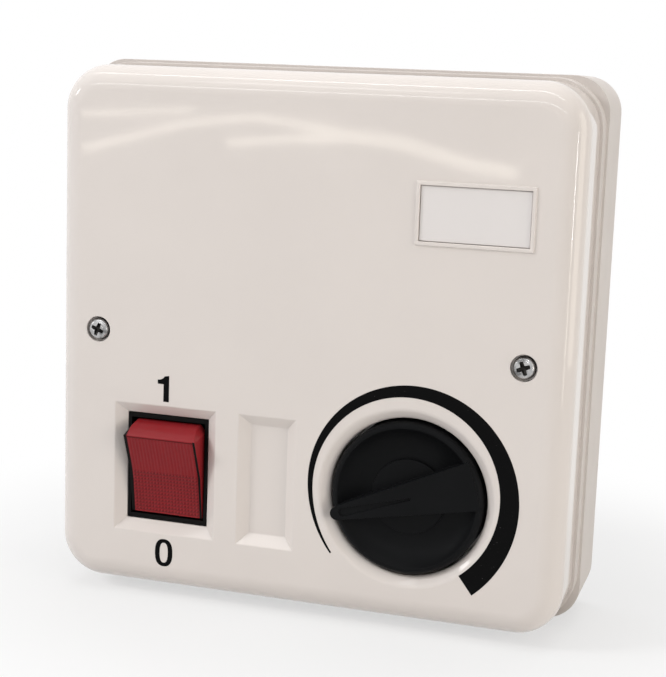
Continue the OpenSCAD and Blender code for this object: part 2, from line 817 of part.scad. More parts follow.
module pointer() {
    tip_r = pointer_tip_w / 2;
    tip_x = knob_r - tip_r + fit_gap;
    far_x = knob_crest_r + fit_gap;
    fall = atan((pointer_rise - fit_gap) / (tip_x + far_x));
    groove_r = tip_r - groove_wall;
    pointer_low = face_z - knob_bowl - knob_t / 2;
    difference() {
        translate([0, 0, pointer_low]) linear_extrude(height = knob_bowl + 2 * pointer_rise) {
            circle_and_wedge(tip_x, tip_r, -far_x, pointer_far_w / 2);
        }
        translate([tip_x, 0, face_z + pointer_rise]) rotate([0, -fall, 0]) {
            translate([-3 * knob_r, -knob_r, 0]) cube([4 * knob_r, 2 * knob_r, 2 * knob_r]);
            translate([0, 0, -groove_depth]) linear_extrude(height = 2 * groove_depth) {
                circle_and_wedge(-tip_r, groove_r, -knob_r, groove_r / 4);
            }
        }
    }
}
module circle_and_wedge(near_x, near_half, far_x, far_half) {
    translate([near_x, 0]) circle(r = near_half);
    polygon([[near_x, near_half], [far_x, far_half], [far_x, -far_half], [near_x, -near_half]]);
}

// Spring ring that keeps the shaft in its bush
module shaft_clip() color("silver") on_wall() {
    translate(knob_at) difference() {
        post(shaft_r + ring_w, ring_t, [0, 0], bush_end + fit_gap / 2);
        post(shaft_r, ring_t + 2 * over, [0, 0], bush_end - over);
        block([ring_mouth, 2 * shaft_r, ring_t + 2 * over], [0, -shaft_r - over], bush_end - over);
    }
}

// Shaft with a flat that drives the knob
module pot_shaft() color("silver") on_wall() at_knob() difference() {
    post(shaft_r, shaft_end - shaft_back, [0, 0], shaft_back);
    shaft_flat_side(0, hub_back - fit_gap / 2);
}
module shaft_flat_side(gap, z) {
    translate([shaft_r - shaft_flat + gap, -shaft_r, z]) cube([shaft_r, 2 * shaft_r, shaft_out]);
}

// Wiper carried on the shaft's inner end
module pot_wiper() color("peru") on_wall() at_knob() {
    wiper_r = can_r - can_t - wiper_gap;
    difference() {
        union() {
            post(bush_flange_r, wiper_t, [0, 0], wiper_z);
            block([wiper_r, 2 * shaft_r, wiper_t], [wiper_r / 2, 0], wiper_z);
        }
        post(shaft_r + pilot_gap, wiper_t + over, [0, 0], shaft_back);
    }
}

// Threaded bush that holds the potentiometer in the well's floor
module pot_bush() color("darkkhaki") on_wall() translate(knob_at) difference() {
    union() {
        post(bush_r, bush_end - well_back + can_t + collet_t, [0, 0], well_back - can_t - collet_t);
        post(bush_flange_r, collet_t, [0, 0], well_back - can_t - collet_t);
    }
    post(shaft_r + shaft_gap, bush_end, [0, 0], can_back);
}
module pot_washer() color("silver") on_wall() translate(knob_at) difference() {
    post(washer_r, washer_t, [0, 0], well_floor);
    post(bush_r + pin_gap, washer_t + 2 * over, [0, 0], well_floor - over);
}
module pot_nut() color("silver") on_wall() translate(knob_at) difference() {
    translate([0, 0, well_floor + washer_t]) cylinder(r = nut_r, h = nut_t, $fn = 6);
    post(bush_r + pilot_gap, nut_t + 2 * over, [0, 0], well_floor + washer_t - over);
}

// Drawn metal can behind the well
module pot_can() color("lightsteelblue") on_wall() translate(knob_at) difference() {
    post(can_r, can_d, [0, 0], can_back);
    post(can_r - can_t, can_d - can_t + over, [0, 0], can_back - over);
    post(bush_r + pilot_gap, can_d + 2 * over, [0, 0], can_back - over);
}

// Wafer with the resistance track, closing the can
module pot_track() color("saddlebrown") on_wall() translate(knob_at) {
    post(can_r - can_t - pin_gap, track_t, [0, 0], can_back);
    block([2 * pot_pin_pitch + 2 * pot_pin_w, can_r, track_t], [0, can_r - can_t - pin_gap - over],
        can_back - track_t);
}

// Three pins from the wafer to the board
module pot_terminals() color("silver") on_wall() translate(knob_at) {
    for (i = [-1 : 1]) translate([i * pot_pin_pitch, 0, 0]) {
        block([pot_pin_w, pot_pin_t, can_back - track_t - pin_end], [0, pot_pin_y], pin_end);
    }
}

// Board that carries the circuit
module circuit_board() color("darkgreen") on_wall() difference() {
    block([board_w, board_h, board_t], [0, board_y], board_back);
    for (at = pillars) post(board_screw_r + pin_gap, 3 * board_t, at, board_back - board_t);
    for (x = poles, y = [0, -lever_l]) board_slot(blade_w, blade_t, [switch_x + x, switch_y + y]);
    for (i = [-1 : 1]) board_slot(pot_pin_w, pot_pin_t, [knob_x + i * pot_pin_pitch, knob_y + pot_pin_y]);
    for (x = terminal_x) post(lead_r + pin_gap, 3 * board_t, [x, terminal_y], board_back - board_t);
}
module board_slot(w, t, at)
    block([w + 2 * pin_gap, t + 2 * pin_gap, 3 * board_t], at, board_back - board_t);

module board_screws() color("silver") on_wall() {
    for (at = pillars) translate([at[0], at[1], board_back]) mirror([0, 0, 1]) difference() {
        rotate_extrude() pan_head_section(board_screw_r, board_screw_len, board_head_r, board_head_h);
        block([2 * board_head_r + over, slot_w, slot_depth + over], [0, 0], board_head_h - slot_depth);
    }
}

// Finned aluminium plate that cools the triac
module heat_sink() color("silver") on_wall() difference() {
    union() {
        block([sink_w, sink_t, sink_h], sink_at, board_front);
        for (i = [0 : fin_count - 1]) {
            x = sink_at[0] - sink_w / 2 + fin_t / 2 + i * (sink_w - fin_t) / (fin_count - 1);
            block([fin_t, fin_l + sink_t / 2, sink_h],
                [x, sink_at[1] + fin_l / 2 + sink_t / 4], board_front);
        }
    }
    translate([sink_at[0], sink_at[1], triac_screw_z]) rotate([90, 0, 0]) {
        cylinder(r = triac_screw_r + pilot_gap, h = 2 * sink_t, center = true);
    }
}

// Power switch on the heat sink, with its tab and three leads
module triac() color("dimgray") on_wall() translate([sink_at[0], triac_y, 0]) {
    low = board_front + triac_lift;
    difference() {
        block([tab_w, tab_t, tab_h], [0, -tab_t / 2], low);
        translate([0, over, triac_screw_z]) rotate([90, 0, 0]) {
            cylinder(r = triac_screw_r + pin_gap, h = tab_t + 2 * over);
        }
    }
    block([tab_w, triac_body_t, triac_body_h], [0, -tab_t - triac_body_t / 2], low);
    for (i = [-1 : 1])
        post(lead_r, triac_lift + over, [lead_pitch * i, -tab_t - triac_body_t / 2], board_front);
}
module triac_screw() color("silver") on_wall() {
    translate([sink_at[0], triac_y - tab_t, triac_screw_z]) rotate([90, 0, 0]) {
        rotate_extrude() pan_head_section(triac_screw_r, tab_t + sink_t, triac_head_r, triac_head_h);
    }
}

// Ring core of the interference choke, and the wire wound round it
module choke_core() color("khaki") on_wall()
    translate([choke_at[0], choke_at[1], choke_base]) difference() {
    cylinder(r = choke_out, h = choke_h);
    translate([0, 0, -over]) cylinder(r = choke_in, h = choke_h + 2 * over);
}
module choke_winding() color("chocolate") on_wall() {
    steps = 8;
    sweep = 320;
    count = choke_turns * steps;
    mid_r = (choke_in + choke_out) / 2;
    half_w = (choke_out - choke_in) / 2 + choke_wire + fit_gap;
    half_h = choke_h / 2 + choke_wire + fit_gap;
    corners = [[1, 0], [1, 1], [0, 1], [-1, 1], [-1, 0], [-1, -1], [0, -1], [1, -1]];
    path = [for (i = [0 : count])
        let (c = corners[i % steps], r = mid_r + half_w * c[0], a = sweep * i / count)
        [r * cos(a), r * sin(a), half_h * c[1]]
    ];
    translate([choke_at[0], choke_at[1], choke_base + choke_h / 2]) tube(path, choke_wire, tube_sides);
}

module suppression_capacitor() color("gold") on_wall() {
    block([cap_w, cap_t, cap_h], cap_at, board_front);
}

// Fuse with its end caps, held in two spring clips
module fuse_clips() color("silver") on_wall() {
    gap = 2 * (fuse_r + pin_gap);
    clip_h = fuse_lift + 2 * fuse_r;
    for (side = [-1, 1]) translate([fuse_at[0] + side * (fuse_l - clip_w) / 2, fuse_at[1], 0]) {
        block([clip_w, gap + 2 * clip_wall, clip_wall], [0, 0], board_front);
        for (end = [-1, 1]) {
            block([clip_w, clip_wall, clip_h], [0, end * (gap + clip_wall) / 2], board_front);
        }
    }
}
module fuse_tube() color("lightcyan") on_wall() {
    translate([fuse_at[0], fuse_at[1], fuse_z]) cross_bar(fuse_r - pin_gap, fuse_l - 2 * clip_w);
}
module fuse_caps() color("silver") on_wall() {
    for (side = [-1, 1]) translate([fuse_at[0] + side * (fuse_l - clip_w) / 2, fuse_at[1], fuse_z]) {
        cross_bar(fuse_r, clip_w);
    }
}

// Small parts on the board
module resistors() color("tan") on_wall() {
    axis_h = resistor_r + fit_gap;
    leg_at = resistor_l / 2 + 2 * lead_r;
    for (at = resistors_at) translate([at[0], at[1], board_front + axis_h]) {
        cross_bar(resistor_r, resistor_l);
        cross_bar(lead_r - pin_gap, 2 * leg_at);
        for (side = [-1, 1]) post(lead_r, axis_h + lead_r, [side * leg_at, 0], -axis_h);
    }
}
module timing_capacitor() color("royalblue") on_wall() block(timer_size, timer_at, board_front);

// Trimmer for the lowest speed, behind the board
module trimmer_body() color("steelblue") on_wall() difference() {
    block([trimmer_w, trimmer_w, trimmer_d], trimmer_at, board_back - trimmer_d);
    post(rotor_r + rotor_gap, trimmer_d / 2 + over, trimmer_at, board_back - trimmer_d - over);
}
module trimmer_rotor() color("white") on_wall() difference() {
    post(rotor_r, trimmer_d / 2, trimmer_at, board_back - trimmer_d - fit_gap);
    block([rotor_slot_l, slot_w, slot_depth + over], trimmer_at, board_back - trimmer_d - fit_gap - over);
}

// Terminal block on the back of the board, with wire holes below and screws towards the wall
module terminal_block() color("whitesmoke") on_wall() difference() {
    block([pole_count * terminal_pitch, terminal_l, terminal_d], [0, terminal_y], terminal_back);
    for (x = terminal_x) {
        block(clamp_size(clamp_gap), [x, terminal_y], terminal_back + terminal_wall);
        translate([x, terminal_y, wire_z]) rotate([90, 0, 0]) cylinder(r = wire_r, h = terminal_l);
        post(wire_r + pin_gap, 2 * terminal_wall, [x, terminal_y], terminal_back - terminal_wall);
        post(lead_r + pin_gap, terminal_d, [x, terminal_y], wire_z);
    }
}
function clamp_size(gap) = [
    terminal_pitch - 2 * terminal_wall + 2 * gap, terminal_l - 4 * terminal_wall + 2 * gap,
    terminal_d - 2 * terminal_wall
];
module terminal_clamps() color("gold") on_wall() {
    for (x = terminal_x) difference() {
        union() {
            block(clamp_size(0), [x, terminal_y], terminal_back + terminal_wall);
            post(lead_r, board_front - wire_z, [x, terminal_y], wire_z + wire_r);
        }
        translate([x, terminal_y, wire_z]) rotate([90, 0, 0]) {
            cylinder(r = wire_r, h = 2 * terminal_l, center = true);
        }
        post(wire_r - pin_gap, terminal_d / 2, [x, terminal_y], terminal_back);
    }
}
module terminal_screws() color("silver") on_wall() {
    head_z = terminal_back + terminal_wall / 2;
    for (x = terminal_x) difference() {
        post(wire_r - 2 * pin_gap, terminal_d / 2 - wire_r / 2, [x, terminal_y], head_z);
        block([2 * wire_r, slot_w, slot_depth + over], [x, terminal_y], head_z - over);
    }
}

base_box();
front_cover();
cover_screws();
name_plate();
cable_grommets();
switch_housing();
rocker();
contact_plungers();
plunger_springs();
contact_levers();
switch_terminals();
neon_lamp();
knob();
shaft_clip();
pot_shaft();
pot_wiper();
pot_bush();
pot_washer();
pot_nut();
pot_can();
pot_track();
pot_terminals();
circuit_board();
board_screws();
heat_sink();
triac();
triac_screw();
choke_core();
choke_winding();
suppression_capacitor();
fuse_clips();
fuse_tube();
fuse_caps();
resistors();
timing_capacitor();
trimmer_body();
trimmer_rotor();
terminal_block();
terminal_clamps();
terminal_screws();
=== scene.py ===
"""Looks of a wall-mounted fan speed controller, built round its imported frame.

Lengths are metres in the frame's axes: X to the right, Z up, the wall at y = 0 and the front
towards -Y. Face pieces are drawn in a panel frame, X to the right, Y up and Z out of the wall,
and in_wall turns that into the frame's axes.
"""

import json
import math

import bmesh
import bpy
from mathutils import Matrix, Vector


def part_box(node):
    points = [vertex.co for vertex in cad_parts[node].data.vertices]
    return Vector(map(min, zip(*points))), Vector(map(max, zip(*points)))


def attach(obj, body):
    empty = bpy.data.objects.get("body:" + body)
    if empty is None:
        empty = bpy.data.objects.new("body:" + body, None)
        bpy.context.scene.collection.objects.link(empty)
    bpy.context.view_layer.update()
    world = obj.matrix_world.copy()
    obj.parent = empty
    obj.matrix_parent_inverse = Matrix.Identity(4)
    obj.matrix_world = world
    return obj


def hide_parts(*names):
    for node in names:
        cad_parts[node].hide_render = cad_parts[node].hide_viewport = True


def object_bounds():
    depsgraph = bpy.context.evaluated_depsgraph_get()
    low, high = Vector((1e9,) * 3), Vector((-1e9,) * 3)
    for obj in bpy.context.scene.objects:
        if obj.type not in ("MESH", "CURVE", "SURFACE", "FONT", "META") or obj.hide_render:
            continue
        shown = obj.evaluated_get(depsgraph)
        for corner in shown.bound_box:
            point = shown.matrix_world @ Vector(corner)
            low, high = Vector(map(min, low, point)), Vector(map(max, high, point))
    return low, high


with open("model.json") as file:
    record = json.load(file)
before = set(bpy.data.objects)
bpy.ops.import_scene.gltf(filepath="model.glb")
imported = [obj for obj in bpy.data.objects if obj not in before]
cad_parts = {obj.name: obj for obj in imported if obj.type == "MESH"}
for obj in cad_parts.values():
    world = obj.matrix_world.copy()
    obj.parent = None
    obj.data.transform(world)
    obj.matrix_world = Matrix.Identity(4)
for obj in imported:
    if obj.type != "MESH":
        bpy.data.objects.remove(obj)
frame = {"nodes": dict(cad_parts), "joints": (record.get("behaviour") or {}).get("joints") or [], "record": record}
cad_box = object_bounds()

mm = 0.001
nodes = frame["nodes"]
joints = {joint["name"]: joint for joint in frame["joints"]}
scene = bpy.context.scene
in_wall = Matrix.Rotation(math.radians(90), 4, "X")


# Camera, at the photograph's viewing angle

camera_aim = Vector((0.0086, -0.048, 0.0033))
camera_distance = 0.4155
camera_azimuth = math.radians(17.57)
camera_elevation = math.radians(9.88)
camera_roll = math.radians(2.06)
camera_lens = 83.36
sensor_size = 36


def add_camera():
    """Looks at the face from the right and a little above, with the small roll of the photograph."""
    data = bpy.data.cameras.new("camera")
    data.lens = camera_lens
    data.sensor_width = sensor_size
    camera = bpy.data.objects.new("camera", data)
    scene.collection.objects.link(camera)
    towards = Vector((
        math.sin(camera_azimuth) * math.cos(camera_elevation),
        -math.cos(camera_azimuth) * math.cos(camera_elevation),
        math.sin(camera_elevation),
    ))
    look = (-towards).to_track_quat("-Z", "Y").to_matrix().to_4x4()
    place = Matrix.Translation(camera_aim + camera_distance * towards)
    camera.matrix_world = place @ look @ Matrix.Rotation(camera_roll, 4, "Z")
    scene.camera = camera


# Materials

# Most values of a noise lie between these two
noise_low = 0.3
noise_high = 0.7


def set_sockets(node, sockets):
    """Sets inputs of a shader node by their names, which have _ for a space."""
    for socket, value in sockets.items():
        node.inputs[socket.replace("_", " ")].default_value = value


def add_node(tree, kind, **sockets):
    node = tree.nodes.new("ShaderNode" + kind)
    set_sockets(node, sockets)
    return node


class Finish:
    """A Principled material whose colour, roughness and relief vary over the surface."""

    def __init__(self, name, **sockets):
        self.name = name
        self.material = bpy.data.materials.new(name)
        self.material.use_nodes = True
        self.tree = self.material.node_tree
        self.shader = self.tree.nodes["Principled BSDF"]
        set_sockets(self.shader, sockets)
        self.place = add_node(self.tree, "TexCoord").outputs["Object"]
        self.normal = None

    def link(self, output, socket):
        self.tree.links.new(output, socket)

    def noise(self, waves, detail=2, stretch=(1, 1, 1)):
        """Noise with that many waves to the metre, drawn out along an axis where stretch is below 1."""
        mapping = add_node(self.tree, "Mapping", Scale=stretch)
        self.link(self.place, mapping.inputs["Vector"])
        node = add_node(self.tree, "TexNoise", Scale=waves, Detail=detail)
        self.link(mapping.outputs["Vector"], node.inputs["Vector"])
        return node.outputs["Fac"]

    def ramp(self, pattern, *stops):
        """Colour ramp over a pattern; stops are pairs of position and colour."""
        node = add_node(self.tree, "ValToRGB")
        self.link(pattern, node.inputs["Fac"])
        first, last = node.color_ramp.elements
        first.position, first.color = stops[0][0], (*stops[0][1], 1)
        last.position, last.color = stops[-1][0], (*stops[-1][1], 1)
        for position, colour in stops[1:-1]:
            node.color_ramp.elements.new(position).color = (*colour, 1)
        return node.outputs["Color"]

    def tint(self, pattern, *stops):
        self.link(self.ramp(pattern, *stops), self.shader.inputs["Base Color"])

    def drift(self, pattern, low, high):
        """Tint between two colours."""
        self.tint(pattern, (noise_low, low), (noise_high, high))

    def roughen(self, pattern, low, high):
        """Roughness between two values."""
        node = add_node(
            self.tree, "MapRange", From_Min=noise_low, From_Max=noise_high, To_Min=low, To_Max=high,
        )
        self.link(pattern, node.inputs["Value"])
        self.link(node.outputs["Result"], self.shader.inputs["Roughness"])

    def relief(self, pattern, height):
        """Bump of that height in metres, on top of any before it."""
        node = add_node(self.tree, "Bump", Distance=height)
        self.link(pattern, node.inputs["Height"])
        if self.normal:
            self.link(self.normal, node.inputs["Normal"])
        self.normal = node.outputs["Normal"]
        self.link(self.normal, self.shader.inputs["Normal"])


def shade(colour, factor):
    return tuple(channel * factor for channel in colour)


def moulded(name, colour, rough, spread=0.03, grain=1.5e-6, **sockets):
    """Moulded plastic: a slow drift of colour, uneven gloss and a fine grain."""
    finish = Finish(name, **sockets)
    dark = shade(colour, 1 - spread)
    pale = shade(colour, 1 + spread)
    finish.drift(finish.noise(waves=28, detail=3), dark, pale)
    finish.roughen(finish.noise(waves=90), low=rough * 0.92, high=rough * 1.08)
    finish.relief(finish.noise(waves=2600), height=grain)
    return finish


def gloss_shell(name, colour, rough, **sockets):
    """Enclosure plastic with the slow waves that a moulded wall takes as it cools."""
    finish = moulded(name, colour, rough, spread=0.014, grain=2e-7, **sockets)
    finish.relief(finish.noise(waves=16, detail=1), height=3e-5)
    return finish


def metal(name, colour, rough, stretch=(1, 1, 1), scratch=2e-6, **sockets):
    """Bare metal with a drift of colour and fine scratches, long where stretch draws them out."""
    finish = Finish(name, Metallic=1, **sockets)
    dark = shade(colour, 0.82)
    pale = shade(colour, 1.08)
    finish.drift(finish.noise(waves=420, detail=4), dark, pale)
    finish.roughen(finish.noise(waves=900, detail=3, stretch=stretch), low=rough * 0.7, high=rough * 1.5)
    finish.relief(finish.noise(waves=3000, detail=3, stretch=stretch), height=scratch)
    return finish


def worn_zinc(name, bright):
    """Bright zinc plating with dull grey patches."""
    finish = Finish(name, Metallic=1)
    dull = shade(bright, 0.4)
    between = shade(bright, 0.8)
    finish.tint(finish.noise(waves=480), (0.36, dull), (0.47, between), (0.6, bright))
    finish.roughen(finish.noise(waves=900, detail=3), low=0.16, high=0.34)
    finish.relief(finish.noise(waves=3000, detail=3), height=2e-6)
    return finish


def clear(name, colour, rough):
    """Clear glass with faint drawing lines."""
    finish = Finish(name, Transmission_Weight=1, IOR=1.5)
    dark = shade(colour, 0.96)
    finish.drift(finish.noise(waves=150), dark, colour)
    finish.roughen(finish.noise(waves=400), low=rough, high=rough * 2)
    finish.relief(finish.noise(waves=500, detail=1, stretch=(0.1, 1, 1)), height=2e-6)
    return finish


def printed(name, colour, pale):
    """Screen-printed ink with a few pale pinholes."""
    finish = Finish(name, Specular_IOR_Level=0.05)
    finish.tint(finish.noise(waves=2400), (0, colour), (0.74, colour), (0.8, pale))
    finish.roughen(finish.noise(waves=700, detail=3), low=0.3, high=0.5)
    finish.relief(finish.noise(waves=1800), height=4e-6)
    return finish


def circuit_laminate(name, mask, copper):
    """Solder mask with the copper tracks showing through it as paler lines.

    The tracks are the joints of long flat bricks, broken where a noise gives them the mask's colour.
    """
    finish = Finish(name, Coat_Weight=0.4, Coat_Roughness=0.15)
    bricks = add_node(
        finish.tree, "TexBrick", Color1=(*mask, 1), Color2=(*mask, 1),
        Scale=1, Mortar_Size=0.0005, Brick_Width=0.045, Row_Height=0.0028,
    )
    turn = add_node(finish.tree, "Mapping", Rotation=(math.radians(90), 0, 0))
    finish.link(finish.place, turn.inputs["Vector"])
    finish.link(turn.outputs["Vector"], bricks.inputs["Vector"])
    patches = finish.noise(waves=55, detail=1, stretch=(1, 1, 1.8))
    broken = finish.ramp(patches, (0.48, mask), (0.5, copper))
    finish.link(broken, bricks.inputs["Mortar"])
    finish.link(bricks.outputs["Color"], finish.shader.inputs["Base Color"])
    finish.roughen(finish.noise(waves=500, detail=3), low=0.3, high=0.45)
    finish.relief(finish.noise(waves=1200), height=4e-6)
    return finish


drawn = (1, 1, 0.05)
red_glow = (1, 0.12, 0.1)

finishes = {finish.name: finish for finish in (
    gloss_shell("box_plastic", (0.63, 0.585, 0.555), rough=0.48, Specular_IOR_Level=0.2),
    gloss_shell("cover_plastic", (0.735, 0.68, 0.645), rough=0.045),
    moulded("plate_plastic", (0.765, 0.73, 0.718), rough=0.3, spread=0.01),
    moulded("switch_plastic", (0.004, 0.0035, 0.0035), rough=0.35, spread=0.2, Specular_IOR_Level=0.08),
    moulded(
        "rocker_plastic", (0.28, 0.018, 0.023), rough=0.25, spread=0.08, Specular_IOR_Level=0.15,
        Subsurface_Weight=0.25, Subsurface_Radius=red_glow, Subsurface_Scale=0.0012,
    ),
    moulded(
        "rocker_lens", (0.25, 0.0145, 0.019), rough=0.3, spread=0.08, Specular_IOR_Level=0.15,
        Subsurface_Weight=0.2, Subsurface_Radius=red_glow, Subsurface_Scale=0.0008,
    ),
    # Darker copy of the lens red: painted shade on the lower and right faces of the lens pyramids
    moulded("rocker_painted_shade", (0.155, 0.009, 0.012), rough=0.3, spread=0.08, Specular_IOR_Level=0.15),
    # Darkest rocker red: painted shade of the crease below the ridge
    moulded("rocker_crease_shade", (0.11, 0.007, 0.009), rough=0.3, spread=0.08, Specular_IOR_Level=0.1),
    moulded(
        "knob_plastic", (0.0055, 0.0058, 0.0064), rough=0.4, spread=0.25, grain=4e-6,
        Specular_IOR_Level=0.07,
    ),
    moulded("white_plastic", (0.76, 0.75, 0.71), rough=0.4),
    moulded("rubber", (0.035, 0.034, 0.033), rough=0.7, spread=0.2, grain=1e-5, Specular_IOR_Level=0.25),
    worn_zinc("zinc", (0.49, 0.485, 0.485)),
    # Near-black metal: painted shade deep in the screws' crosses and round the rims of their heads
    metal("recess", (0.04, 0.038, 0.036), rough=0.5),
    metal("steel", (0.5, 0.5, 0.5), rough=0.32, stretch=drawn),
    metal("tin", (0.66, 0.66, 0.64), rough=0.3),
    metal("brass", (0.7, 0.48, 0.17), rough=0.28, stretch=drawn),
    metal("copper", (0.62, 0.22, 0.08), rough=0.3, Coat_Weight=0.6, Coat_Roughness=0.1),
    metal("aluminium", (0.7, 0.7, 0.71), rough=0.36, stretch=drawn, scratch=5e-6),
    moulded("ferrite", (0.6, 0.52, 0.18), rough=0.45, spread=0.08, grain=4e-6),
    circuit_laminate("board", mask=(0.02, 0.13, 0.05), copper=(0.05, 0.24, 0.09)),
    moulded("laminate", (0.26, 0.12, 0.05), rough=0.5, spread=0.15),
    moulded("device_black", (0.02, 0.02, 0.021), rough=0.5, spread=0.2, grain=5e-6),
    moulded("device_blue", (0.03, 0.1, 0.38), rough=0.35, spread=0.08),
    moulded("film_yellow", (0.78, 0.5, 0.06), rough=0.35, spread=0.05),
    moulded("resistor_tan", (0.58, 0.42, 0.24), rough=0.38, spread=0.08),
    clear("fuse_glass", (0.9, 0.94, 0.94), rough=0.03),
    clear("lamp_glass", (0.92, 0.62, 0.35), rough=0.04),
    printed("ink", (0.0028, 0.0028, 0.003), pale=(0.12, 0.11, 0.11)),
)}


def dress_nodes():
    """Gives every node of the frame the finish of its material slot."""
    for part in frame["record"]["subparts"]:
        mesh = nodes[part["node"]].data
        mesh.materials.clear()
        mesh.materials.append(finishes[part["material_slot"]].material)


# Softened shells

weld = 0.001 * mm
flat_angle = math.radians(0.2)
sharp_angle = math.radians(25)
edge_segments = 2
round_profile = 0.5

# The bevels of the cover's recesses meet the face at a gentle angle
gentle_angle = math.radians(45)
gentle_w = 0.5 * mm
gentle_segments = 3

# The lip of the knob well is the widest rounding
lip_angle = math.radians(60)
lip_reach = 28 * mm
lip_w = 1.1 * mm
lip_segments = 4

# Body and width of the rounded edges of each shell
softened = {
    "base_box": ("enclosure", 0.25 * mm),
    "front_cover": ("enclosure", 0.25 * mm),
    "name_plate": ("enclosure", 0.12 * mm),
    "cable_grommets": ("enclosure", 0.4 * mm),
    "switch_housing": ("enclosure", 0.15 * mm),
    "rocker": ("rocker", 0.2 * mm),
    "knob": ("knob", 0.2 * mm),
}


def weigh_normals(mesh):
    """Smooth shading in which the larger faces at a corner count for more, so flat faces stay flat."""
    for face in mesh.polygons:
        face.use_smooth = True
    normals = [Vector() for _ in mesh.vertices]
    for face in mesh.polygons:
        for corner in face.vertices:
            normals[corner] += face.normal * face.area
    mesh.normals_split_custom_set_from_vertices([normal.normalized() for normal in normals])


def bent_edges(bm, least, most):
    """Edges whose faces meet at an angle between the two limits."""
    return [edge for edge in bm.edges if least < edge.calc_face_angle(0) < most]


def from_knob(edge):
    """Distance of an edge from the knob's axis."""
    x, _, z = joints["knob_turn"]["pos_m"]
    middle = (edge.verts[0].co + edge.verts[1].co) / 2
    return math.hypot(middle.x - x, middle.z - z)


def round_edges(bm, edges, width, segments):
    bmesh.ops.bevel(
        bm, geom=edges, offset=width, offset_type="WIDTH", segments=segments, profile=round_profile,
        affect="EDGES",
    )


def soften_edges():
    """Replaces the visible shells by copies whose edges are rounded as moulded ones are."""
    slots = {part["node"]: part["material_slot"] for part in frame["record"]["subparts"]}
    for node, (body, width) in softened.items():
        bm = bmesh.new()
        bm.from_mesh(nodes[node].data)
        bmesh.ops.remove_doubles(bm, verts=bm.verts, dist=weld)
        bmesh.ops.dissolve_limit(bm, angle_limit=flat_angle, verts=bm.verts, edges=bm.edges)
        if node == "front_cover":
            lip = [edge for edge in bent_edges(bm, sharp_angle, lip_angle) if from_knob(edge) < lip_reach]
            round_edges(bm, lip, lip_w, lip_segments)
            round_edges(bm, bent_edges(bm, sharp_angle, gentle_angle), gentle_w, gentle_segments)
        round_edges(bm, bent_edges(bm, sharp_angle, math.pi), width, edge_segments)
        if node == "rocker":
            paint_rocker_edge_shade(bm)
        piece = new_piece(node + "_moulded", bm, body, slots[node], Matrix())
        if node == "rocker":
            # Black second material: painted shade along the rocker's edges
            piece.data.materials.append(finishes["switch_plastic"].material)
        weigh_normals(piece.data)
        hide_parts(node)


# Pieces of the face

# The label frame is the foremost part of the cover and stands this far off its face
frame_rise = 0.5 * mm
face_z = -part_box("front_cover")[0].y - frame_rise
print_t = 0.04 * mm


def new_piece(name, bm, body, finish, place):
    """Object made of bm, moved to its place and riding on a body."""
    bmesh.ops.recalc_face_normals(bm, faces=bm.faces)
    mesh = bpy.data.meshes.new(name)
    bm.to_mesh(mesh)
    bm.free()
    mesh.transform(place)
    mesh.materials.append(finishes[finish].material)
    piece = bpy.data.objects.new(name, mesh)
    scene.collection.objects.link(piece)
    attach(piece, body)
    return piece


def on_face(_):
    """Height of the cover's face, which is the same all over."""
    return face_z


def solid_band(bm, left, right, closed=False, height=on_face):
    """Thin solid between two rows of points, from just below a surface to just above it."""
    levels = [[[bm.verts.new((x, y, height(y) + rise)) for x, y in row] for row in (left, right)]
              for rise in (-print_t, print_t)]
    (low_left, low_right), (high_left, high_right) = levels
    sides = [(high_left, high_right), (low_left, low_right), (low_left, high_left), (low_right, high_right)]
    count = len(left)
    for i in range(count if closed else count - 1):
        k = (i + 1) % count
        for a, b in sides:
            bm.faces.new((a[i], a[k], b[k], b[i]))
    if not closed:
        for i in (0, count - 1):
            bm.faces.new((low_left[i], high_left[i], high_right[i], low_right[i]))


# Speed scale; its angles are degrees clockwise from straight up
scale_shift = (-0.35 * mm, 1.46 * mm)
scale_r = 25.94 * mm
scale_oval = 0.24 * mm
scale_tilt = 20
scale_start = -133.4
scale_end = 142.6
scale_thin = 0.5 * mm
scale_thick = 6.2 * mm
scale_tail = 0.16
scale_lift = 1.15 * mm
scale_steps = 140


def scale_inner(share):
    """Radius of the scale's inner edge: slightly oval, and drawn out at the thin end."""
    clock = scale_start + (scale_end - scale_start) * share
    oval = scale_oval * math.cos(2 * math.radians(clock - scale_tilt))
    tail = max(1 - share / scale_tail, 0)
    return scale_r + oval + scale_lift * tail * tail


def scale_outer(share):
    return scale_inner(share) + scale_thin + (scale_thick - scale_thin) * share


def scale_points(radius):
    """Points along the scale, whose radius is a function of the share of its length."""
    x, _, y = joints["knob_turn"]["pos_m"]
    points = []
    for i in range(scale_steps + 1):
        share = i / scale_steps
        angle = math.radians(scale_start + (scale_end - scale_start) * share)
        r = radius(share)
        points.append((x + scale_shift[0] + r * math.sin(angle), y + scale_shift[1] + r * math.cos(angle)))
    return points


def add_speed_scale():
    """Printed arc round the knob that grows thicker with the speed."""
    bm = bmesh.new()
    solid_band(bm, scale_points(scale_inner), scale_points(scale_outer))
    new_piece("speed_scale", bm, "enclosure", "ink", in_wall)


# Marks of the switch: a 0 with straightened sides, and a 1 made of a stem and a curved flag
switch_x, _, switch_y = joints["rocker_tilt"]["pos_m"]
off_at = (switch_x + 0.35 * mm, switch_y - 23.75 * mm)
off_size = (5.3 * mm, 7.9 * mm)
off_stroke = (1.4 * mm, 1.05 * mm)
off_power = 2.5
off_steps = 64
on_right = switch_x + 1.1 * mm
on_top = switch_y + 27 * mm
on_height = 7.4 * mm
on_stem = 1.65 * mm
on_flag = 1.75 * mm
flag_low = 2.45 * mm
flag_high = 1.3 * mm
flag_lap = 0.3 * mm
flag_steps = 8


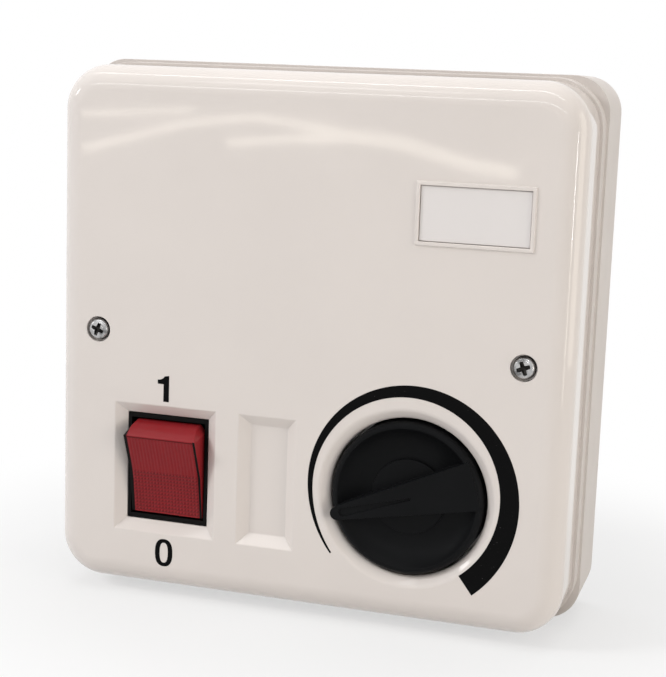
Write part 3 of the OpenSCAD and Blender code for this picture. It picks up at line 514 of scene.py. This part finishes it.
def super_ellipse(width, height):
    """Points round the middle of the 0, on an ellipse with straightened sides."""
    points = []
    for i in range(off_steps):
        angle = 2 * math.pi * i / off_steps
        c, s = math.cos(angle), math.sin(angle)
        points.append((
            off_at[0] + math.copysign(abs(c) ** (2 / off_power), c) * width / 2,
            off_at[1] + math.copysign(abs(s) ** (2 / off_power), s) * height / 2,
        ))
    return points


def add_switch_marks():
    """Printed 1 above the switch and 0 below it."""
    bm = bmesh.new()
    inner = super_ellipse(off_size[0] - 2 * off_stroke[0], off_size[1] - 2 * off_stroke[1])
    outer = super_ellipse(*off_size)
    solid_band(bm, inner, outer, closed=True)
    new_piece("mark_off", bm, "enclosure", "ink", in_wall)

    bm = bmesh.new()
    on_left = on_right - on_stem
    low, high = on_top - on_height, on_top - flag_low
    solid_band(bm, [(on_left, low), (on_left, high)], [(on_right, low), (on_right, high)])
    tip = on_left - on_flag
    reach = on_left + flag_lap - tip
    under = []
    over = []
    for i in range(flag_steps + 1):
        angle = math.radians(90 * i / flag_steps)
        under.append((tip + (on_right - tip) * i / flag_steps, high))
        over.append((tip + reach * math.sin(angle), on_top - flag_high * math.cos(angle)))
    over[-1] = (on_right, on_top)
    solid_band(bm, under, over)
    new_piece("mark_on", bm, "enclosure", "ink", in_wall)


# Rocker front

rocker_w = 21.4 * mm
rocker_ridge = 6.1 * mm
rocker_dip = 1.5 * mm
ridge_u = 12.04 * mm
ridge_gap = 0.15 * mm
crease_round = 0.45 * mm
# Widths of the black strips down the front's edges, painted shade of the gaps there
left_edge_w = 1 * mm
right_edge_w = 0.7 * mm
front_facing = 0.6
lens_gap = 0.1 * mm
lens_left = left_edge_w + lens_gap - rocker_w / 2
lens_w = rocker_w - left_edge_w - right_edge_w - 2 * lens_gap
lens_margin = 0.5 * mm
lens_top = ridge_u - lens_margin
lens_change = 0.8 * mm
lens_lift = 0.03 * mm
lens_t = 0.3 * mm
prism_pitch = 1 * mm
prism_h = 0.16 * mm
# The first two faces of each pyramid, its lower and right ones, take the darker red as painted shade
painted_shade_sides = 2
rib_h = 0.1 * mm
rib_steps = 8


def at_rocker():
    """Rocker axes at rest: X across, Y along the rocker's length and Z out of its middle.

    At rest the rocker lies at one end of its range, so it is half the range away from level.
    """
    x, y, z = joints["rocker_tilt"]["pos_m"]
    tilt = math.radians(joints["rocker_tilt"]["range_deg"][1] / 2)
    return Matrix.Translation((x, y, z)) @ in_wall @ Matrix.Rotation(tilt, 4, "X")


def front_height(u):
    """Height of the rocker's front above its pivot: a shallow V with a rounded crease."""
    rise = rocker_dip * u / ridge_u
    bend = math.hypot(rocker_dip, crease_round) - rocker_dip
    return rocker_ridge - rocker_dip + math.hypot(rise, crease_round) - bend


def paint_rocker_edge_shade(bm):
    """Gives the rocker's left side and the strip down the right of its front the second material, black plastic as
    painted shade of the dark gaps along the rocker's edges.
    """
    middle = joints["rocker_tilt"]["pos_m"][0]
    left = middle - rocker_w / 2 + left_edge_w
    right = middle + rocker_w / 2 - right_edge_w
    for x in (left, right):
        everything = bm.verts[:] + bm.edges[:] + bm.faces[:]
        bmesh.ops.bisect_plane(bm, geom=everything, plane_co=(x, 0, 0), plane_no=(1, 0, 0))
    bm.normal_update()
    front = at_rocker().to_3x3() @ Vector((0, 0, 1))
    for face in bm.faces:
        x = face.calc_center_median().x
        face.material_index = x < left or (x > right and face.normal.dot(front) > front_facing)


def close_sheet(bm, rows):
    """Closes a sheet of points, given in rows across, with walls and a floor below it."""
    low = [[bm.verts.new(row[i].co - Vector((0, 0, lens_t))) for i in (0, -1)] for row in rows]
    for row, after, ends, after_ends in zip(rows, rows[1:], low, low[1:]):
        bm.faces.new((ends[0], ends[1], after_ends[1], after_ends[0]))
        for i in (0, -1):
            bm.faces.new((row[i], after[i], after_ends[i], ends[i]))
    for row, ends in ((rows[0], low[0]), (rows[-1], low[-1])):
        bm.faces.new([*row, ends[1], ends[0]])


def add_rocker_lens():
    """Ribs over the upper half of the rocker's front and small pyramids over the lower half, whose lower and right
    faces take a darker red as painted shade.
    """
    bm = bmesh.new()
    columns = round(lens_w / prism_pitch)

    def row(u, steps, peak):
        heights = [front_height(u) + lens_lift + (peak if i % 2 else 0) for i in range(steps + 1)]
        return [bm.verts.new((lens_left + lens_w * i / steps, u, z)) for i, z in enumerate(heights)]

    ribs = [row(lens_change + (lens_top - lens_change) * k / rib_steps, 2 * columns, rib_h)
            for k in range(rib_steps + 1)]
    for lower, upper in zip(ribs, ribs[1:]):
        for i in range(2 * columns):
            bm.faces.new((lower[i], lower[i + 1], upper[i + 1], upper[i]))
    close_sheet(bm, ribs)

    lines = round((lens_top + lens_change) / prism_pitch)
    grid = [row(lens_change - (lens_top + lens_change) * k / lines, columns, 0) for k in range(lines + 1)]
    for upper, lower in zip(grid, grid[1:]):
        for i in range(columns):
            ring = [lower[i], lower[i + 1], upper[i + 1], upper[i]]
            middle = sum((corner.co for corner in ring), Vector()) / len(ring)
            peak = bm.verts.new(middle + Vector((0, 0, prism_h)))
            for side, (a, b) in enumerate(zip(ring, ring[1:] + ring[:1])):
                face = bm.faces.new((a, b, peak))
                face.material_index = side < painted_shade_sides
    close_sheet(bm, grid)
    piece = new_piece("rocker_lens", bm, "rocker", "rocker_lens", at_rocker())
    piece.data.materials.append(finishes["rocker_painted_shade"].material)


def add_rocker_ridge_shade():
    """Darker line below the rocker's upper ridge: painted shade of the crease between the front and the top facet.
    """
    bm = bmesh.new()
    low, high = lens_top, ridge_u - ridge_gap
    left = [(lens_left, low), (lens_left, high)]
    right = [(lens_left + lens_w, low), (lens_left + lens_w, high)]
    solid_band(bm, left, right, height=front_height)
    # The strip is painted shade of the crease, not a real groove
    new_piece("rocker_ridge", bm, "rocker", "rocker_crease_shade", at_rocker())


# Cover screws

head_r = 3.1 * mm
head_h = 2.3 * mm
head_square = 5
shank_r = 1.75 * mm
cross_reach = 1.85 * mm
cross_half = 0.64 * mm
cross_taper = 0.1
cross_wall = 0.16 * mm
cross_depth = 1.5 * mm
cross_shallow = 0.6
# Corners deeper than this in the cross, or beyond this share of the radius at the rim, get the dark metal as
# painted shade
recess_dark = 0.25 * mm
painted_rim_share = 0.95
screw_turns = (math.radians(-22), math.radians(21))
screw_rings = 56
screw_spokes = 96


def smooth(share):
    """Eases a share of 0 to 1 in and out."""
    return share * share * (3 - 2 * share)


def cross_recess(x, y):
    """Depth of the cross recess at a point of the head."""
    along = max(abs(x), abs(y))
    aside = min(abs(x), abs(y))
    inside = min(cross_half - cross_taper * along - aside, cross_reach - along)
    wall = min(max(inside / cross_wall, 0), 1)
    return cross_depth * (1 - cross_shallow * along / cross_reach) * smooth(wall)


def screw_mesh(bm, turn, length, painted_dark_corners):
    """Pan-head screw along Z, its head standing on the level 0.

    Gives its corners, and adds those deep in the cross and at the rim of the head to painted_dark_corners, whose
    faces take a dark metal as painted shade.
    """
    angles = [2 * math.pi * i / screw_spokes for i in range(screw_spokes)]
    rings = []
    for k in range(1, screw_rings + 1):
        r = head_r * math.sin(math.pi / 2 * k / screw_rings)
        dome = head_h * math.sqrt(1 - min((r / head_r) ** head_square, 1))
        ring = []
        for angle in angles:
            x, y = r * math.cos(angle), r * math.sin(angle)
            depth = cross_recess(x, y)
            ring.append(bm.verts.new((x, y, dome - depth)))
            if depth > recess_dark or r > painted_rim_share * head_r:
                painted_dark_corners.add(ring[-1])
        rings.append(ring)
    for z in (0, -length):
        rings.append([bm.verts.new((shank_r * math.cos(a), shank_r * math.sin(a), z)) for a in angles])
    middle = bm.verts.new((0, 0, head_h - cross_recess(0, 0)))
    painted_dark_corners.add(middle)
    for i in range(screw_spokes):
        k = (i + 1) % screw_spokes
        bm.faces.new((middle, rings[0][i], rings[0][k]))
        for inner, outer in zip(rings, rings[1:]):
            bm.faces.new((inner[i], outer[i], outer[k], inner[k]))
    bm.faces.new(rings[-1])
    corners = [middle] + [corner for ring in rings for corner in ring]
    bmesh.ops.rotate(bm, verts=corners, matrix=Matrix.Rotation(turn, 3, "Z"))
    return corners


def add_cover_screws():
    """The two cover screws, their crosses turned as they were left."""
    low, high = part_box("cover_screws")
    bm = bmesh.new()
    painted_dark_corners = set()
    seat = -low.y - head_h
    for x, turn in zip((low.x + head_r, high.x - head_r), screw_turns):
        corners = screw_mesh(bm, turn, seat + high.y, painted_dark_corners)
        bmesh.ops.translate(bm, verts=corners, vec=(x, (low.z + high.z) / 2, seat))
    # Faces whose corners are all in the dark set take the near-black metal as painted shade
    for face in bm.faces:
        face.material_index = all(vert in painted_dark_corners for vert in face.verts)
    piece = new_piece("cover_screws_turned", bm, "enclosure", "zinc", in_wall)
    piece.data.materials.append(finishes["recess"].material)
    weigh_normals(piece.data)
    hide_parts("cover_screws")


# Floor and backdrop

floor_near = 0.08
floor_far = 0.17
floor_half = 6
floor_gap = 0.1 * mm
floor_colour = (0.75, 0.75, 0.75, 1)
shadow_share = 0.4
surround = 0.3
plain_white = (1, 1, 1, 1)


def looked_at(tree):
    """1 for the rays that see the background: from the camera, in a reflection or through glass."""
    path = add_node(tree, "LightPath")
    seen = path.outputs["Is Camera Ray"]
    for kind in ("Is Glossy Ray", "Is Transmission Ray"):
        both = add_node(tree, "Math")
        both.operation = "MAXIMUM"
        tree.links.new(seen, both.inputs[0])
        tree.links.new(path.outputs[kind], both.inputs[1])
        seen = both.outputs[0]
    return seen


def mix_shaders(tree, share, first, second, output):
    """Ends a node tree with a mix of two shaders."""
    mix = add_node(tree, "MixShader")
    for source, socket in zip((share, first.outputs[0], second.outputs[0]), mix.inputs):
        tree.links.new(source, socket)
    tree.links.new(mix.outputs[0], add_node(tree, output).inputs["Surface"])


def add_floor():
    """Pale floor that keeps the shadow by the object and turns to plain white away from it."""
    bm = bmesh.new()
    bmesh.ops.create_grid(bm, x_segments=1, y_segments=1, size=floor_half)
    mesh = bpy.data.meshes.new("floor")
    bm.to_mesh(mesh)
    bm.free()
    floor = bpy.data.objects.new("floor", mesh)
    floor.location.z = cad_box[0].z - floor_gap
    scene.collection.objects.link(floor)
    material = bpy.data.materials.new("floor")
    material.use_nodes = True
    tree = material.node_tree
    tree.nodes.clear()
    distance = add_node(tree, "VectorMath")
    distance.operation = "LENGTH"
    tree.links.new(add_node(tree, "TexCoord").outputs["Object"], distance.inputs[0])
    fade = add_node(tree, "MapRange", From_Min=floor_near, From_Max=floor_far, To_Min=1 - shadow_share)
    fade.interpolation_type = "SMOOTHSTEP"
    tree.links.new(distance.outputs["Value"], fade.inputs["Value"])
    share = add_node(tree, "Math")
    share.operation = "MULTIPLY"
    tree.links.new(looked_at(tree), share.inputs[0])
    tree.links.new(fade.outputs["Result"], share.inputs[1])
    pale = add_node(tree, "BsdfDiffuse", Color=floor_colour)
    white = add_node(tree, "Emission", Color=plain_white)
    mix_shaders(tree, share.outputs[0], pale, white, "OutputMaterial")
    mesh.materials.append(material)


def add_world():
    """White background, and a dimmer even light on the object."""
    world = bpy.data.worlds.new("studio")
    world.use_nodes = True
    tree = world.node_tree
    tree.nodes.clear()
    lights = add_node(tree, "Background", Color=plain_white, Strength=surround)
    white = add_node(tree, "Background", Color=plain_white)
    mix_shaders(tree, looked_at(tree), lights, white, "OutputWorld")
    scene.world = world


# Lamps

neutral = (1, 1, 1)
warm = (1, 0.92, 0.81)
cream = (1, 0.93, 0.8)
tube_size = (2, 0.06)
right_edge = (0.068, -0.044, 0.04)
knob_middle = joints["knob_turn"]["pos_m"]

# Rows of strip lamps at one distance from the wall: the height of a row and the points (x, z) it joins
strip_y = -1.3
strip_glow = 4.2
strip_rows = (
    (0.009, ((-0.7, -0.03), (-0.57, 0.005), (-0.49, 0.015), (-0.39, 0.005))),
    (0.014, ((-0.43, -0.005), (-0.38, 0), (-0.32, -0.005), (-0.24, -0.025), (-0.19, -0.03))),
    (0.009, ((-0.52, -0.015), (-0.43, -0.005))),
    (0.007, ((-0.7, 0.01), (-0.56, 0.02))),
)


def new_light(name, size, watts, colour):
    """Rectangular lamp that isn't seen itself."""
    data = bpy.data.lights.new(name, "AREA")
    data.shape = "RECTANGLE"
    data.size, data.size_y = size
    data.energy = watts
    data.color = colour
    light = bpy.data.objects.new(name, data)
    scene.collection.objects.link(light)
    light.visible_camera = False
    return light


def add_light(name, place, size, watts, colour=neutral, aim=(0, 0, 0)):
    """Lamp at a place, facing the aim."""
    light = new_light(name, size, watts, colour)
    place = Vector(place)
    turn = (Vector(aim) - place).to_track_quat("-Z", "Y").to_matrix().to_4x4()
    light.matrix_world = Matrix.Translation(place) @ turn
    return light


def glow_watts(glow, size):
    """Power of a lamp of that size whose surface is glow times as bright as white."""
    return glow * math.pi * size[0] * size[1]


def add_glow(name, place, size, glow, **more):
    """Lamp given by the brightness of its surface, for what the gloss of the cover mirrors."""
    return add_light(name, place, size, glow_watts(glow, size), **more)


def add_broad_lights():
    """Soft light from the left, above and the right, which no surface mirrors."""
    lights = (
        add_light("key", place=(-0.9, -0.6, 0.7), size=(0.35, 0.35), watts=7.1),
        add_light("top", place=(0, 0.1, 0.68), size=(0.7, 0.45), watts=2.4),
        add_light("right", place=(0.9, -0.4, 0.2), size=(0.6, 0.6), watts=3.1, colour=warm),
    )
    for light in lights:
        light.visible_glossy = False


def add_edge_lights():
    """Tubes and slits that line the rounded edges."""
    add_glow("tube_front", place=(-0.1, -1.3, 0.74), size=tube_size, glow=6)
    add_glow("tube_above", place=(-0.1, -0.36, 1.3), size=tube_size, glow=8)
    add_glow("slit", place=(1, -0.42, -0.02), size=(0.045, 0.11), glow=16, aim=right_edge)
    add_glow(
        "low_slit", place=(0.346, -0.156, -0.034), size=(0.0135, 0.073), glow=7, colour=cream, aim=right_edge,
    )


def add_shine():
    """Panels seen only in the gloss: on the right edge, the knob well's slope and the blank's lower bevel."""
    lights = (
        add_glow(
            "sheen", place=(0.417, -0.0135, 0.09), size=(0.175, 0.32), glow=2, colour=cream, aim=right_edge,
        ),
        add_glow("glint", place=(-1.1, -0.44, 0.41), size=(0.16, 0.16), glow=7, aim=knob_middle),
        add_glow("gleam", place=(-0.36, -0.72, 0.985), size=(0.3, 0.12), glow=2.2, aim=knob_middle),
    )
    for light in lights:
        light.visible_diffuse = False


def add_strip_lights():
    """Rows of narrow lamps whose bent lines show as streaks in the cover's gloss."""
    for row, (height, points) in enumerate(strip_rows):
        for i, ((x0, z0), (x1, z1)) in enumerate(zip(points, points[1:])):
            size = (math.hypot(x1 - x0, z1 - z0), height)
            light = new_light(f"strip_{row}_{i}", size, glow_watts(strip_glow, size), cream)
            place = Matrix.Translation(((x0 + x1) / 2, strip_y, (z0 + z1) / 2))
            slant = Matrix.Rotation(-math.atan2(z1 - z0, x1 - x0), 4, "Y")
            light.matrix_world = place @ slant @ in_wall


scene.view_settings.view_transform = "Standard"
add_camera()
dress_nodes()
soften_edges()
add_speed_scale()
add_switch_marks()
add_rocker_lens()
add_rocker_ridge_shade()
add_cover_screws()
add_floor()
add_world()
add_broad_lights()
add_edge_lights()
add_shine()
add_strip_lights()

bpy.context.view_layer.update()
